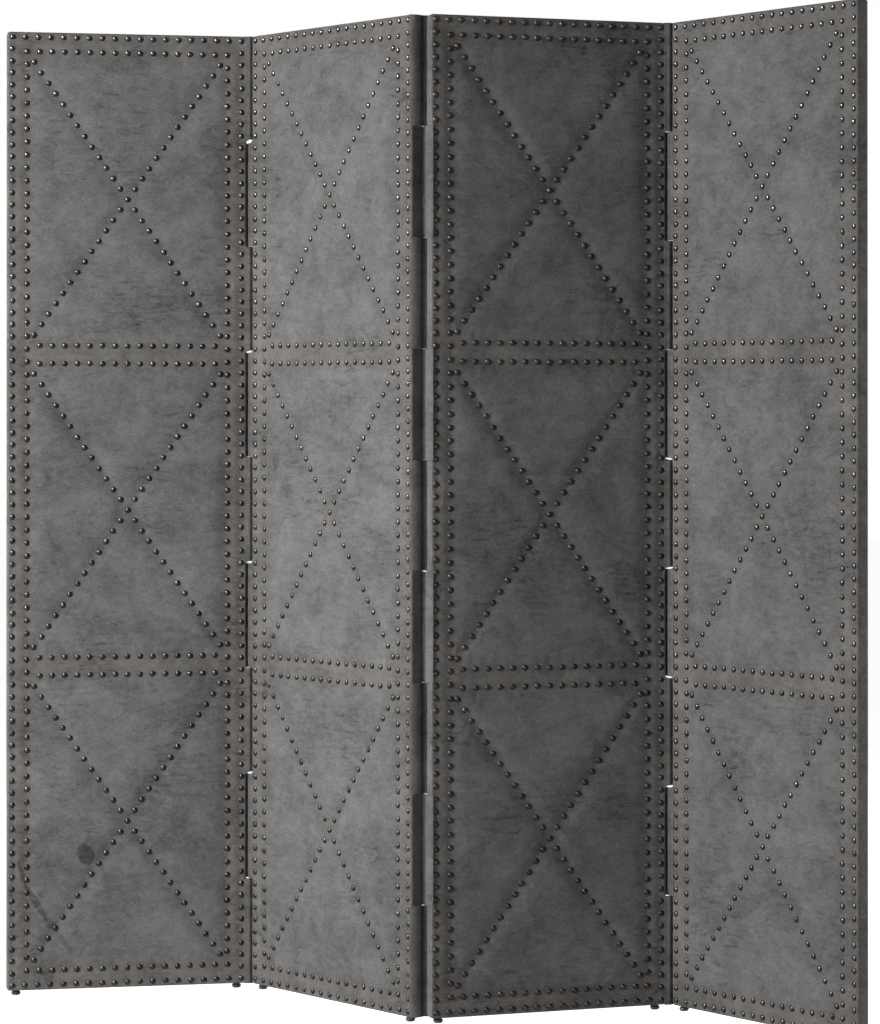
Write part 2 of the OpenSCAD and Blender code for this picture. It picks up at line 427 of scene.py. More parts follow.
def ticks(length, radius, cell):
    """Places of the grid's lines, with three in each rounded edge, at even angles."""
    bend = [radius * (1 - math.tan(math.radians(a))) for a in (45, 30, 15)]
    count = max(1, round((length - 2 * radius) / cell))
    flat = [radius + (length - 2 * radius) * k / count for k in range(count + 1)]
    return bend + flat + [length - b for b in reversed(bend)]


def side_rows(depth_end, radius, thickness):
    """Depths of the rows round the edge: of the front's round, and on to an end in the back's round."""
    rows = [radius * (1 - math.tan(math.radians(a))) for a in (30, 15, 0)]
    back_start = thickness - radius
    if depth_end <= back_start:
        return rows
    side_count, round_count = 4, 3
    rows += [radius + (back_start - radius) * k / side_count for k in range(1, side_count + 1)]
    last = math.asin((depth_end - back_start) / radius)
    rows += [back_start + radius * math.tan(last * k / round_count) for k in range(1, round_count + 1)]
    return rows


def grid(name, xs, zs):
    """A flat grid with its lines at the given places, and the places of its points."""
    clear_selection()
    bpy.ops.mesh.primitive_grid_add(x_subdivisions=len(xs) - 1, y_subdivisions=len(zs) - 1, size=1)
    obj = added(name)
    raw = points_of(obj)
    x = np.array(xs)[np.rint((raw[:, 0] + 0.5) * (len(xs) - 1)).astype(int)]
    z = np.array(zs)[np.rint((raw[:, 1] + 0.5) * (len(zs) - 1)).astype(int)]
    set_points(obj, np.column_stack((x, np.zeros(len(x)), z)))
    return obj, x, z


def sort_mesh(obj):
    """Sorts points, edges and faces, which extrusion leaves in another order in each run."""
    points = points_of(obj)
    order = np.lexsort(points.T)
    rank = np.argsort(order).tolist()
    edges = sorted(sorted(rank[v] for v in edge.vertices) for edge in obj.data.edges)
    faces = []
    for face in obj.data.polygons:
        ring = [rank[v] for v in face.vertices]
        first = ring.index(min(ring))
        faces.append(ring[first:] + ring[:first])
    obj.data.clear_geometry()
    obj.data.from_pydata(points[order].tolist(), edges, sorted(faces))
    obj.data.uv_layers.new(name="UVMap")


def front_grid(name, cell, inset, depth_end):
    """The blank over the front of a panel, wrapped round its edges, with its flat places as UV map."""
    radius = EDGE_R - inset
    width, height, thickness = PANEL_W - 2 * inset, PANEL_H - 2 * inset, PANEL_T - 2 * inset
    obj = grid(name, ticks(width, radius, cell), ticks(height, radius, cell))[0]
    select_open_edges(obj)
    reached = 0
    for depth in side_rows(depth_end - inset, radius, thickness):
        extrude((0, depth - reached, 0))
        reached = depth
    bpy.ops.object.mode_set(mode="OBJECT")
    sort_mesh(obj)
    flat = points_of(obj)
    core = np.clip(flat, (radius, radius, radius), (width - radius, thickness - radius, height - radius))
    out = flat - core
    out /= np.linalg.norm(out, axis=1)[:, None]
    wrapped = core + radius * out + inset
    uv = flat[:, (0, 2)] + inset
    for side, axis, size in ((0, 0, width), (1, 2, height)):
        uv[:, side] -= np.where(flat[:, axis] < 1e-6, flat[:, 1], 0)
        uv[:, side] += np.where(flat[:, axis] > size - 1e-6, flat[:, 1], 0)
    facing = np.clip(-out[:, 1], 0, 1)
    wrapped -= out * (relief(wrapped[:, 0], wrapped[:, 2]) * facing)[:, None]
    set_points(obj, wrapped)
    set_uv(obj, uv)
    return obj


def mark_rows(obj):
    """Attributes of the front cloth: how near it is to a row of nails, and the browner bands."""
    points = points_of(obj)
    x, z = points[:, 0], points[:, 2]
    front = np.clip(1 - points[:, 1] / EDGE_R, 0, 1)
    # the channel level also tints the cloth browner and darker along the rows; the darkening is partly
    # painted shade
    set_attribute(obj, "channel", channel(x, z) * front)
    band = edge_distance(x, z) < INNER_INSET + BAND_REACH
    for low in FIELD_BOTTOMS[1:]:
        band |= (z > low - DOUBLE_GAP - BAND_REACH) & (z < low + BAND_REACH)
    set_attribute(obj, "band", band.astype(float))


def settle(obj):
    """Lets the cloth swell and pucker on its padding, held at every nail and round the edges."""
    start = points_of(obj)
    held = (dimple(start[:, 0], start[:, 2]) > HELD_DIMPLE) | (start[:, 1] > HELD_SIDE)
    held |= edge_distance(start[:, 0], start[:, 2]) < HELD_RIM
    group = obj.vertex_groups.new(name="held")
    group.add([int(k) for k in np.nonzero(held)[0]], 1.0, "REPLACE")
    modifier = obj.modifiers.new("cloth", "CLOTH")
    cloth = modifier.settings
    cloth.quality = 4
    cloth.mass = 0.02
    cloth.tension_stiffness = cloth.compression_stiffness = 12
    cloth.shear_stiffness = 5
    cloth.bending_stiffness = 0.4
    cloth.shrink_min = -CLOTH_SLACK
    cloth.use_pressure = True
    cloth.uniform_pressure_force = CLOTH_PRESSURE
    cloth.vertex_group_mass = "held"
    cloth.effector_weights.gravity = 0
    modifier.collision_settings.use_self_collision = False
    for step in range(1, SETTLE_FRAMES + 1):
        bpy.context.scene.frame_set(step)
    only(obj)
    bpy.ops.object.modifier_apply(modifier="cloth")
    bpy.context.scene.frame_set(1)
    moved = points_of(obj) - start
    reach = np.maximum(np.linalg.norm(moved, axis=1), 1e-9)
    share = SETTLE_LIMIT * np.tanh(reach / SETTLE_LIMIT) / reach
    set_points(obj, start + moved * share[:, None])
    obj.vertex_groups.clear()


def front_cover():
    obj = front_grid("front_cloth", FRONT_CELL, 0.0, PANEL_T - COVER_T)
    mark_rows(obj)
    settle(obj)
    apply_modifier(obj, "SOLIDIFY", thickness=COVER_T, offset=-1.0)
    smooth(obj)
    return obj


def front_padding():
    obj = front_grid("front_wadding", WADDING_CELL, COVER_T, PAD_BACK)
    close_holes(obj)
    smooth(obj)
    return obj


def back_ticks(length, rim):
    """Places of the back cloth's lines, closer together in the hem."""
    hem = [rim, rim + 0.0012, rim + 0.0028, EDGE_R + 0.001]
    flat = list(np.linspace(EDGE_R, length - EDGE_R, round(length / BACK_CELL) + 1)[1:-1])
    return hem + flat + [length - place for place in reversed(hem)]


def back_cover():
    """The plain cloth of the back, its edge turned under along the seam."""
    rim = EDGE_R - math.sqrt(EDGE_R ** 2 - (EDGE_R - COVER_T) ** 2)
    obj, x, z = grid("back_cloth", back_ticks(PANEL_W, rim), back_ticks(PANEL_H, rim))
    away = edge_distance(x, z)
    drop = EDGE_R - np.sqrt(EDGE_R ** 2 - np.clip(EDGE_R - away, 0, EDGE_R) ** 2)
    hem = HEM_H * np.exp(-((away - rim - 0.0014) / HEM_W) ** 2)
    crown = CROWN_H * (1 - np.exp(-away / CROWN_REACH))
    ripple = RIPPLE_H * np.sin(x * 41 + 2 * np.sin(z * 9)) * np.sin(z * 17 + 1.3)
    set_points(obj, np.column_stack((x, PANEL_T - drop + hem + crown + ripple * (away > 0.02), z)))
    turn_faces(obj)
    set_uv(obj, np.column_stack((x, z)))
    apply_modifier(obj, "SOLIDIFY", thickness=COVER_T, offset=-1.0)
    smooth(obj)
    return obj


# Nails

def extrude_ring(step, scale):
    """Extrudes the selected ring along y and scales it about the y axis."""
    extrude((0, step, 0))
    bpy.ops.transform.resize(value=(scale, 1, scale), center_override=(0, 0, 0))


def one_nail():
    """A dome nail with its crown towards -y, its rim at y = 0 and its shank behind."""
    clear_selection()
    bpy.ops.mesh.primitive_circle_add(vertices=12, radius=NAIL_D / 2, fill_type="NOTHING",
                                      rotation=(math.pi / 2, 0, 0))
    obj = added("nail")
    bpy.ops.object.transform_apply(location=False, rotation=True, scale=True)
    bpy.ops.object.mode_set(mode="EDIT")
    bpy.ops.mesh.select_all(action="SELECT")
    radius = (NAIL_D ** 2 / 4 + NAIL_H ** 2) / (2 * NAIL_H)
    now, height = NAIL_D / 2, 0
    for share in NAIL_RINGS:
        ring = share * NAIL_D / 2
        level = math.sqrt(radius ** 2 - ring ** 2) - (radius - NAIL_H) + NAIL_RIM
        extrude_ring(height - level, ring / now)
        now, height = ring, level
    extrude((0, height - NAIL_H, 0))
    bpy.ops.mesh.merge(type="CENTER")
    bpy.ops.object.mode_set(mode="OBJECT")
    select_open_edges(obj)
    extrude_ring(0, SHANK_D / NAIL_D)
    extrude((0, SHANK_L, 0))
    bpy.ops.mesh.merge(type="CENTER")
    bpy.ops.object.mode_set(mode="OBJECT")
    face_outwards(obj)
    return obj


def nails(name, nail, spots, seed):
    """All the nails of one group: each a copy, turned, tipped and set a little by hand."""
    rng = np.random.default_rng(seed)
    shape = points_of(nail)
    count = len(spots)
    spin = rng.uniform(0, 2 * math.pi, count)
    tip = rng.normal(0, NAIL_TIP, (count, 2))
    shift = rng.normal(0, NAIL_SHIFT, (count, 2))
    sink = rng.uniform(*NAIL_SINK, count)
    c, s = np.cos(spin)[:, None], np.sin(spin)[:, None]
    x = shape[None, :, 0] * c + shape[None, :, 2] * s
    z = shape[None, :, 2] * c - shape[None, :, 0] * s
    y = shape[None, :, 1] + x * np.tan(tip[:, :1]) + z * np.tan(tip[:, 1:])
    y += sink[:, None] + NAIL_SEAT
    place = np.array([tuple(spot) for spot in spots]) + shift
    points = np.stack((x + place[:, :1], y, z + place[:, 1:]), axis=2).reshape(-1, 3)
    faces = [tuple(p.vertices) for p in nail.data.polygons]
    many = [tuple(v + k * len(shape) for v in face) for k in range(count) for face in faces]
    mesh = bpy.data.meshes.new(name)
    mesh.from_pydata(points.tolist(), [], many)
    obj = bpy.data.objects.new(name, mesh)
    bpy.context.collection.objects.link(obj)
    crown = np.clip(-shape[:, 1] / NAIL_H, 0, 1)
    set_attribute(obj, "crown", np.tile(crown, count))
    set_attribute(obj, "wear", np.repeat(rng.uniform(0, 1, count), len(shape)))
    smooth(obj, 50)
    return obj


# Glides

def one_glide():
    """A turned glide: a soft sole, a rounded body and a neck with its flange under the panel."""
    profile = [(0.0, 0.0), (0.0070, 0.0), (0.0078, 0.0007), (0.0078, 0.0014), (0.0072, 0.0018),
               (0.0086, 0.0022), (0.0090, 0.0031), (0.0090, 0.0046), (0.0083, 0.0058), (0.0066, 0.0066),
               (0.0062, 0.0076), (0.0070, 0.0083), (0.0070, 0.0090), (0.0020, 0.0090),
               (0.0020, 0.0260), (0.0, 0.0272)]
    clear_selection()
    bpy.ops.mesh.primitive_circle_add(vertices=3, radius=0.001)
    obj = added("glide")
    obj.data.clear_geometry()
    edges = [(k, k + 1) for k in range(len(profile) - 1)]
    obj.data.from_pydata([(r, 0, z) for r, z in profile], edges, [])
    bpy.ops.object.mode_set(mode="EDIT")
    bpy.ops.mesh.select_all(action="SELECT")
    bpy.ops.mesh.spin(steps=28, angle=2 * math.pi, center=(0, 0, 0), axis=(0, 0, 1))
    bpy.ops.object.mode_set(mode="OBJECT")
    face_outwards(obj)
    smooth(obj, 50)
    return obj


# Cloth hinges

def fold_sizes(key):
    """How far the pivot lies off the panels' faces, and half the gap between the panels."""
    if key == 23:
        return BACK_PROUD, BACK_GAP / 2
    return FRONT_PROUD, FRONT_GAP / 2


def roll_point(gap, face, degrees):
    """Middle and half thickness of a strip where it rolls over the edge, in a wide and a tight round."""
    change = math.radians(ROLL_CHANGE)
    wide, tight = math.radians(min(degrees, ROLL_CHANGE)), math.radians(max(degrees, ROLL_CHANGE))
    a = gap - STRIP_PLUMP + ROLL_WIDE * (1 - math.cos(wide))
    a += ROLL_TIGHT * (math.cos(change) - math.cos(tight))
    b = face + ROLL_LIFT - ROLL_TIGHT * (1 - math.sin(tight))
    b -= ROLL_WIDE * (math.sin(change) - math.sin(wide))
    edge = (gap + EDGE_R, face - EDGE_R)
    below = max(b - edge[1], 0.0)
    away = math.hypot(a - edge[0], below)
    under = (edge[0] + (a - edge[0]) / away * EDGE_R, min(b, edge[1]) + below / away * EDGE_R)
    return (a + under[0]) / 2, (b + under[1]) / 2, math.hypot(a - under[0], b - under[1]) / 2


def strip_path(key):
    """Middle line of a strip, as (a, b, half thickness, shade) on the short and on the long side.

    a is the distance from the pivot into the panel's width, b from the pivot's plane into its
    thickness. The short side lies on the face that folds inwards, the long one on the edge. The
    shade is painted shade that darkens the strip's colour: 0 where the strip is lit, 1 at the bottom of
    the gap."""
    proud, gap = fold_sizes(key)
    face = PANEL_T + proud
    dip = 0.3 * proud + 0.0006
    short = [(gap + 0.0043, proud + 0.0007, 0.0003, 0.10),
             (gap + 0.0033, proud + 0.0004, 0.0006, 0.15),
             (gap + 0.0016, proud + 0.0006, 0.0009, 0.20),
             (gap - 0.0003, proud + 0.0008, 0.0011, 0.25),
             (0.5 * gap, 0.5 * (proud + dip) + 0.0006, 0.0011, 0.30),
             (0.0007, dip, 0.0010, 0.35)]
    long = [(0.0002, dip + 0.0003, 0.0010, 0.35),
            (0.0003, 0.0045, 0.0010, 0.60),
            (0.0002, 0.0078, 0.0014, 1.0)]
    long += [(*roll_point(gap, face, degrees), 0.0) for degrees in ROLL_ANGLES]
    tuck, reach = math.radians(TUCK_ANGLE), EDGE_R - TUCK_DEPTH
    end = gap + EDGE_R - reach * math.cos(tuck), face - EDGE_R + reach * math.sin(tuck)
    long.append((*end, 0.0003, 0.0))
    return short, long


def strip_in_plan(key, kind):
    """The same line in the world's plan: its points, half thicknesses and the painted shade at each
    point.
    """
    fold_to_front = key != 23
    proud, gap = fold_sizes(key)
    face_y = -proud if fold_to_front else PANEL_T + proud
    inwards = 1 if fold_to_front else -1
    short, long = strip_path(key)
    short_is_left = (kind == "left") == fold_to_front

    def placed(a, b, on_left):
        panel = key // 10 if on_left else key % 10
        x = PANEL_W + gap - a if on_left else a - gap
        return (STANDS[panel] @ Vector((x, face_y + inwards * b, 0))).to_2d()

    line = [placed(a, b, short_is_left) for a, b, half, shade in short]
    line += [placed(a, b, not short_is_left) for a, b, half, shade in long]
    halves = [half for a, b, half, shade in short + long]
    painted_shades = [shade for a, b, half, shade in short + long]
    return line, halves, painted_shades


def one_strip(name, key, kind):
    """A padded double strip of cloth, closed all round, with rounded ends."""
    line, halves, painted_shades = strip_in_plan(key, kind)
    count = len(line)
    middle = list(np.linspace(0.02, STRIP_PITCH - 0.02, 12))
    levels = STRIP_ENDS + middle + [STRIP_PITCH - level for level in reversed(STRIP_ENDS)]
    clear_selection()
    bpy.ops.mesh.primitive_circle_add(vertices=2 * count, radius=0.01, fill_type="NOTHING")
    obj = added(name)
    bpy.ops.object.mode_set(mode="EDIT")
    bpy.ops.mesh.select_mode(type="EDGE")
    bpy.ops.mesh.select_all(action="SELECT")
    for low, high in zip(levels, levels[1:]):
        extrude((0, 0, high - low))
    bpy.ops.object.mode_set(mode="OBJECT")
    sides = []
    for k in range(count):
        run = (line[min(k + 1, count - 1)] - line[max(k - 1, 0)]).normalized()
        sides.append(Vector((-run[1], run[0])))
    points = points_of(obj)
    flaps, painted_gap_shade = np.zeros(len(points)), np.zeros(len(points))
    for v, (x, y, z) in enumerate(points):
        turn = round(math.atan2(y, x) / math.pi * count) % (2 * count)
        near = turn if turn < count else 2 * count - 1 - turn
        sign = 1 if turn < count else -1
        end = min(z, STRIP_PITCH - z)
        round_off = math.sqrt(max(0.0, 1 - (1 - min(end / STRIP_END_R, 1)) ** 2))
        pinch = STRIP_PINCH + (1 - STRIP_PINCH) * round_off
        wave = 1 + STRIP_WAVE * math.sin(z * 62 + near * 0.7)
        spot = line[near] + sides[near] * sign * halves[near] * pinch * wave
        flaps[v] = max(0.0, min(1.0, 1.5 - 0.4 * near))
        # painted shade: the strip's colour is darkened where it lies in the gap between the panels
        painted_gap_shade[v] = painted_shades[near]
        points[v] = (spot[0], spot[1], z)
    set_points(obj, points)
    for layer, values in (("flap", flaps), ("painted_gap_shade", painted_gap_shade), ("band", np.ones(len(points)))):
        set_attribute(obj, layer, values)
    close_holes(obj)
    smooth(obj, 60)
    return obj


def fit_strip(strip, bottom, top, slit_below, slit_above):
    """Gives a strip its own height, its flap on the panel's face reaching further into the slits."""
    points = points_of(strip)
    flaps = np.empty(len(points), dtype=np.float32)
    strip.data.attributes["flap"].data.foreach_get("value", flaps)
    share = points[:, 2] / STRIP_PITCH
    near_top = np.clip(1 - (1 - share) * FLAP_TAPER, 0, 1)
    near_bottom = np.clip(1 - share * FLAP_TAPER, 0, 1)
    points[:, 2] = bottom + share * (top - bottom)
    points[:, 2] += flaps * FLAP_INTO_SLIT * (near_top * slit_above - near_bottom * slit_below)
    set_points(strip, points)


def hinge_strips(cloth):
    for key, slits in OPEN_SLITS.items():
        for kind, first in (("left", 0), ("right", 1)):
            model = one_strip("strip_model", key, kind)
            for k in range(first, STRIP_COUNT, 2):
                above, below = slits.get(k, STRIP_SLIT), slits.get(k + 1, STRIP_SLIT)
                top = GLIDE_H + PANEL_H - k * STRIP_PITCH - above / 2
                bottom = GLIDE_H + PANEL_H - (k + 1) * STRIP_PITCH + below / 2
                strip = copy_to(model, f"hinge_strip_{key}_{k + 1}", Matrix.Identity(4))
                fit_strip(strip, bottom, top, below, above if k else 0)
                dress(strip, cloth)
                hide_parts(f"hinge_strips_{key}_left", f"hinge_strips_{key}_right")
                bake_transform(strip)
            discard(model)


# Materials

def material(name):
    made = bpy.data.materials.new(name)
    made.use_nodes = True
    tree = made.node_tree
    return made, tree, tree.nodes["Principled BSDF"]


def node(tree, kind, **values):
    made = tree.nodes.new(kind)
    for key, value in values.items():
        setattr(made, key, value)
    return made


def object_place(tree, scale=(1, 1, 1), tilt=0.0):
    place = node(tree, "ShaderNodeTexCoord").outputs["Object"]
    if scale == (1, 1, 1):
        return place
    mapping = node(tree, "ShaderNodeMapping")
    mapping.inputs["Scale"].default_value = scale
    mapping.inputs["Rotation"].default_value = (0, math.radians(tilt), 0)
    tree.links.new(place, mapping.inputs["Vector"])
    return mapping.outputs["Vector"]


def noise(tree, place, scale, detail=3.0, roughness=0.5, distortion=0.0):
    made = node(tree, "ShaderNodeTexNoise")
    tree.links.new(place, made.inputs["Vector"])
    made.inputs["Scale"].default_value = scale
    made.inputs["Detail"].default_value = detail
    made.inputs["Roughness"].default_value = roughness
    made.inputs["Distortion"].default_value = distortion
    return made.outputs["Fac"]


def spread(tree, value, low, high, to_low=0.0, to_high=1.0):
    made = node(tree, "ShaderNodeMapRange")
    tree.links.new(value, made.inputs["Value"])
    for key, number in (("From Min", low), ("From Max", high), ("To Min", to_low), ("To Max", to_high)):
        made.inputs[key].default_value = number
    return made.outputs["Result"]


def maths(tree, operation, first, second):
    made = node(tree, "ShaderNodeMath", operation=operation)
    for socket, value in zip(made.inputs, (first, second)):
        if isinstance(value, (int, float)):
            socket.default_value = value
        else:
            tree.links.new(value, socket)
    return made.outputs["Value"]


def blend_colours(tree, share, first, second, mode="MIX"):
    made = node(tree, "ShaderNodeMix", data_type="RGBA", blend_type=mode)
    for key, value in ((0, share), (6, first), (7, second)):
        if isinstance(value, (int, float)):
            made.inputs[key].default_value = value
        elif isinstance(value, tuple):
            made.inputs[key].default_value = (*value, 1)
        else:
            tree.links.new(value, made.inputs[key])
    return made.outputs[2]


def attribute(tree, name):
    return node(tree, "ShaderNodeAttribute", attribute_name=name).outputs["Fac"]


def bump(tree, height, distance, strength=1.0, below=None):
    made = node(tree, "ShaderNodeBump")
    tree.links.new(height, made.inputs["Height"])
    made.inputs["Distance"].default_value = distance
    made.inputs["Strength"].default_value = strength
    if below is not None:
        tree.links.new(below, made.inputs["Normal"])
    return made.outputs["Normal"]


# Nap pressed flat on the first panel: middle across and up, size, turn and depth of each mark
PRESSED_NAP = (((0.149, 0.255), (0.031, 0.041), 27, 0.36),
               ((0.029, 0.221), (0.008, 0.055), 17, 0.24),
               ((0.056, 0.165), (0.013, 0.078), 31, 0.28),
               ((0.080, 0.127), (0.016, 0.030), 40, 0.20),
               ((0.107, 0.091), (0.010, 0.068), 35, 0.17))
PRESSED_SOFT = 0.12


def flat_mark(tree, middle, size, tilt):
    """From 0 outside to 1 inside an oval of pressed nap, in metres on the flat cloth."""
    mapping = node(tree, "ShaderNodeMapping", vector_type="TEXTURE")
    mapping.inputs["Location"].default_value = (*middle, 0)
    mapping.inputs["Rotation"].default_value = (0, 0, math.radians(tilt))
    mapping.inputs["Scale"].default_value = (size[0] / 2, size[1] / 2, 1)
    on_cloth = node(tree, "ShaderNodeUVMap", uv_map="UVMap").outputs["UV"]
    tree.links.new(on_cloth, mapping.inputs["Vector"])
    ragged = noise(tree, mapping.outputs["Vector"], 2.2, 3, 0.6)
    away = node(tree, "ShaderNodeVectorMath", operation="LENGTH")
    tree.links.new(mapping.outputs["Vector"], away.inputs[0])
    reach = maths(tree, "ADD", away.outputs["Value"], maths(tree, "MULTIPLY", ragged, 0.5))
    return spread(tree, reach, 1.25 - PRESSED_SOFT, 1.25 + PRESSED_SOFT, 1.0, 0.0)


def suede(name, pressed=()):
    """Brushed suede cloth: clouds, wisps and flecks of turned nap, browner and darker along the nails,
    the darkening partly painted shade, and painted shade in the hinges' gaps.
    """
    made, tree, shader = material(name)
    place = object_place(tree)
    brushed = object_place(tree, (0.85, 0.85, 1.35), 18)
    streaked = object_place(tree, (0.3, 0.3, 1.6), -24)
    nap = 0.0
    layers = []
    for where, scale, detail, rough, share in ((place, 5, 2, 0.5, 0.17), (place, 15, 4, 0.6, 0.22),
                                               (brushed, 50, 5, 0.68, 0.22),
                                               (brushed, 165, 4, 0.72, 0.20),
                                               (place, 430, 2, 0.6, 0.19)):
        layers.append(spread(tree, noise(tree, where, scale, detail, rough, 0.5), 0.36, 0.64))
        nap = maths(tree, "ADD", nap, maths(tree, "MULTIPLY", layers[-1], share))
    strokes = spread(tree, noise(tree, streaked, 95, 3, 0.6, 0.6), 0.52, 0.66)
    swept = maths(tree, "MULTIPLY", strokes, spread(tree, noise(tree, place, 6.5, 2, 0.5), 0.50, 0.60))
    nap = maths(tree, "SUBTRACT", nap, maths(tree, "MULTIPLY", swept, 0.22))
    for middle, size, tilt, depth in pressed:
        mark = maths(tree, "MULTIPLY", flat_mark(tree, middle, size, tilt), depth)
        nap = maths(tree, "SUBTRACT", nap, mark)

    nap = spread(tree, nap, 0.0, 1.0)
    colour = blend_colours(tree, nap, (0.052, 0.052, 0.053), (0.272, 0.271, 0.272))
    cast = spread(tree, noise(tree, place, 24, 3, 0.6), 0.38, 0.62)
    cast = blend_colours(tree, cast, (1.012, 0.998, 0.99), (0.99, 1.0, 1.008))
    colour = blend_colours(tree, 1.0, colour, cast, "MULTIPLY")
    for where, strength, tint in (("band", 0.8, (1.05, 1.015, 0.975)),
                                  # browner tint, and partly painted shade, along the drawn-in rows of
                                  # nails
                                  ("channel", 0.8, (0.93, 0.885, 0.825)),
                                  # painted shade: the hinge strips' colour darkened in the gaps between
                                  # the panels
                                  ("painted_gap_shade", 0.9, (0.3, 0.3, 0.3))):
        share = maths(tree, "MULTIPLY", attribute(tree, where), strength)
        colour = blend_colours(tree, share, colour, tint, "MULTIPLY")
    tree.links.new(colour, shader.inputs["Base Color"])
    shader.inputs["Roughness"].default_value = 0.9
    shader.inputs["Specular IOR Level"].default_value = 0.1
    shader.inputs["Sheen Weight"].default_value = 0.12
    shader.inputs["Sheen Roughness"].default_value = 0.45
    shader.inputs["Sheen Tint"].default_value = (0.9, 0.9, 0.9, 1)
    rough = maths(tree, "ADD", layers[3], layers[4])
    normal = bump(tree, layers[2], 0.0004, 0.6)
    tree.links.new(bump(tree, rough, 0.0003, 0.7, normal), shader.inputs["Normal"])
    return made


def bronze():
    """Dark antiqued nails, worn lighter on the crowns and dirty at the rims."""
    made, tree, shader = material("antique_bronze")
    place = object_place(tree)
    spots = spread(tree, noise(tree, place, 420, 3, 0.6), 0.35, 0.7)
    crown = maths(tree, "POWER", attribute(tree, "crown"), 1.6)
    worn = maths(tree, "MULTIPLY", crown, spread(tree, attribute(tree, "wear"), 0, 1, 0.45, 1.0))
    worn = maths(tree, "MULTIPLY", worn, spread(tree, spots, 0, 1, 0.6, 1.0))
    colour = blend_colours(tree, worn, (0.012, 0.0105, 0.0095), (0.060, 0.054, 0.048))
    tree.links.new(colour, shader.inputs["Base Color"])
    shader.inputs["Metallic"].default_value = 1.0
    tree.links.new(spread(tree, spots, 0, 1, 0.34, 0.25), shader.inputs["Roughness"])
    tree.links.new(bump(tree, spots, 0.00006, 0.3), shader.inputs["Normal"])
    return made


def wood(name, light, dark, grain_scale, stretch=(9, 9, 0.6)):
    """Planed bare wood with its grain along the piece."""
    made, tree, shader = material(name)
    place = object_place(tree, stretch)
    grain = spread(tree, noise(tree, place, grain_scale, 5, 0.6, 0.8), 0.35, 0.65)
    pores = spread(tree, noise(tree, object_place(tree, (1, 1, 0.05)), 1400, 2, 0.5), 0.5, 0.75)
    colour = blend_colours(tree, grain, dark, light)
    colour = blend_colours(tree, maths(tree, "MULTIPLY", pores, 0.35), colour, dark)
    tree.links.new(colour, shader.inputs["Base Color"])
    shader.inputs["Roughness"].default_value = 0.62
    tree.links.new(bump(tree, pores, 0.0002, 0.4), shader.inputs["Normal"])
    return made


def hardboard():
    made, tree, shader = material("hardboard")
    place = object_place(tree)
    fibres = spread(tree, noise(tree, place, 260, 5, 0.7, 1.0), 0.3, 0.7)
    colour = blend_colours(tree, fibres, (0.085, 0.045, 0.024), (0.165, 0.094, 0.052))
    tree.links.new(colour, shader.inputs["Base Color"])
    shader.inputs["Roughness"].default_value = 0.5
    tree.links.new(bump(tree, fibres, 0.0001, 0.4), shader.inputs["Normal"])
    return made


def wadding():
    made, tree, shader = material("wadding")
    place = object_place(tree)
    fluff = noise(tree, place, 160, 6, 0.75, 1.5)
    colour = blend_colours(tree, spread(tree, fluff, 0.3, 0.7), (0.66, 0.65, 0.61), (0.85, 0.84, 0.81))
    tree.links.new(colour, shader.inputs["Base Color"])
    shader.inputs["Roughness"].default_value = 1.0
    shader.inputs["Sheen Weight"].default_value = 0.4
    tree.links.new(bump(tree, fluff, 0.001, 0.8), shader.inputs["Normal"])
    return made


def glide_plastic():
    made, tree, shader = material("glide_plastic")
    place = object_place(tree)
    scuffs = spread(tree, noise(tree, object_place(tree, (1, 1, 4)), 300, 4, 0.7), 0.45, 0.75)
    colour = blend_colours(tree, scuffs, (0.012, 0.012, 0.012), (0.055, 0.052, 0.05))
    tree.links.new(colour, shader.inputs["Base Color"])
    tree.links.new(spread(tree, scuffs, 0, 1, 0.42, 0.7), shader.inputs["Roughness"])
    tree.links.new(bump(tree, noise(tree, place, 700, 2), 0.0001, 0.3), shader.inputs["Normal"])
    return made


# Putting the screen together

def put(model, name, panel, finish, slot, *nodes):
    """A copy of a model on its panel, which stands for the given nodes of the construction."""
    piece = copy_to(model, name, STANDS[panel])
    dress(piece, finish)
    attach(piece, f"panel_{panel}")
    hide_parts(*nodes)
    return piece


def build_screen():
    cover, back, pad, nail, glide = front_cover(), back_cover(), front_padding(), one_nail(), one_glide()
    velvet = suede("velvet")
    marked_velvet = suede("velvet_pressed", pressed=PRESSED_NAP)
    hinge_velvet = suede("hinge_velvet")
    bronze_made, fluff, plastic = bronze(), wadding(), glide_plastic()
    for panel in PANELS:
        pad_piece = put(pad, f"wadding_{panel}", panel, fluff, "wadding", f"front_padding_{panel}")
        finish = marked_velvet if panel == 1 else velvet
        cloth = put(cover, f"front_cloth_{panel}", panel, finish, "velvet", f"front_cover_{panel}")
        plain = put(back, f"back_cloth_{panel}", panel, velvet, "velvet", f"back_cover_{panel}")
        for kind, spots, seed in (("border", border_spots(), 0), ("cross", cross_spots(), 1)):
            group = nails(f"{kind}_nails_home", nail, spots, 10 * panel + seed)
            put(group, f"{kind}_dome_nails_{panel}", panel, bronze_made, "nail_bronze",
                f"{kind}_nails_{panel}")
            discard(group)
        for side, x in (("left", GLIDE_INSET), ("right", PANEL_W - GLIDE_INSET)):
            home = copy_to(glide, "glide_home", Matrix.Translation((x, PANEL_T / 2, -GLIDE_H)))
            put(home, f"glide_{side}_{panel}", panel, plastic, "glide_plastic", f"glides_{panel}")
            discard(home)
    for model in (cover, back, pad, nail, glide):
        discard(model)
    hinge_strips(hinge_velvet)


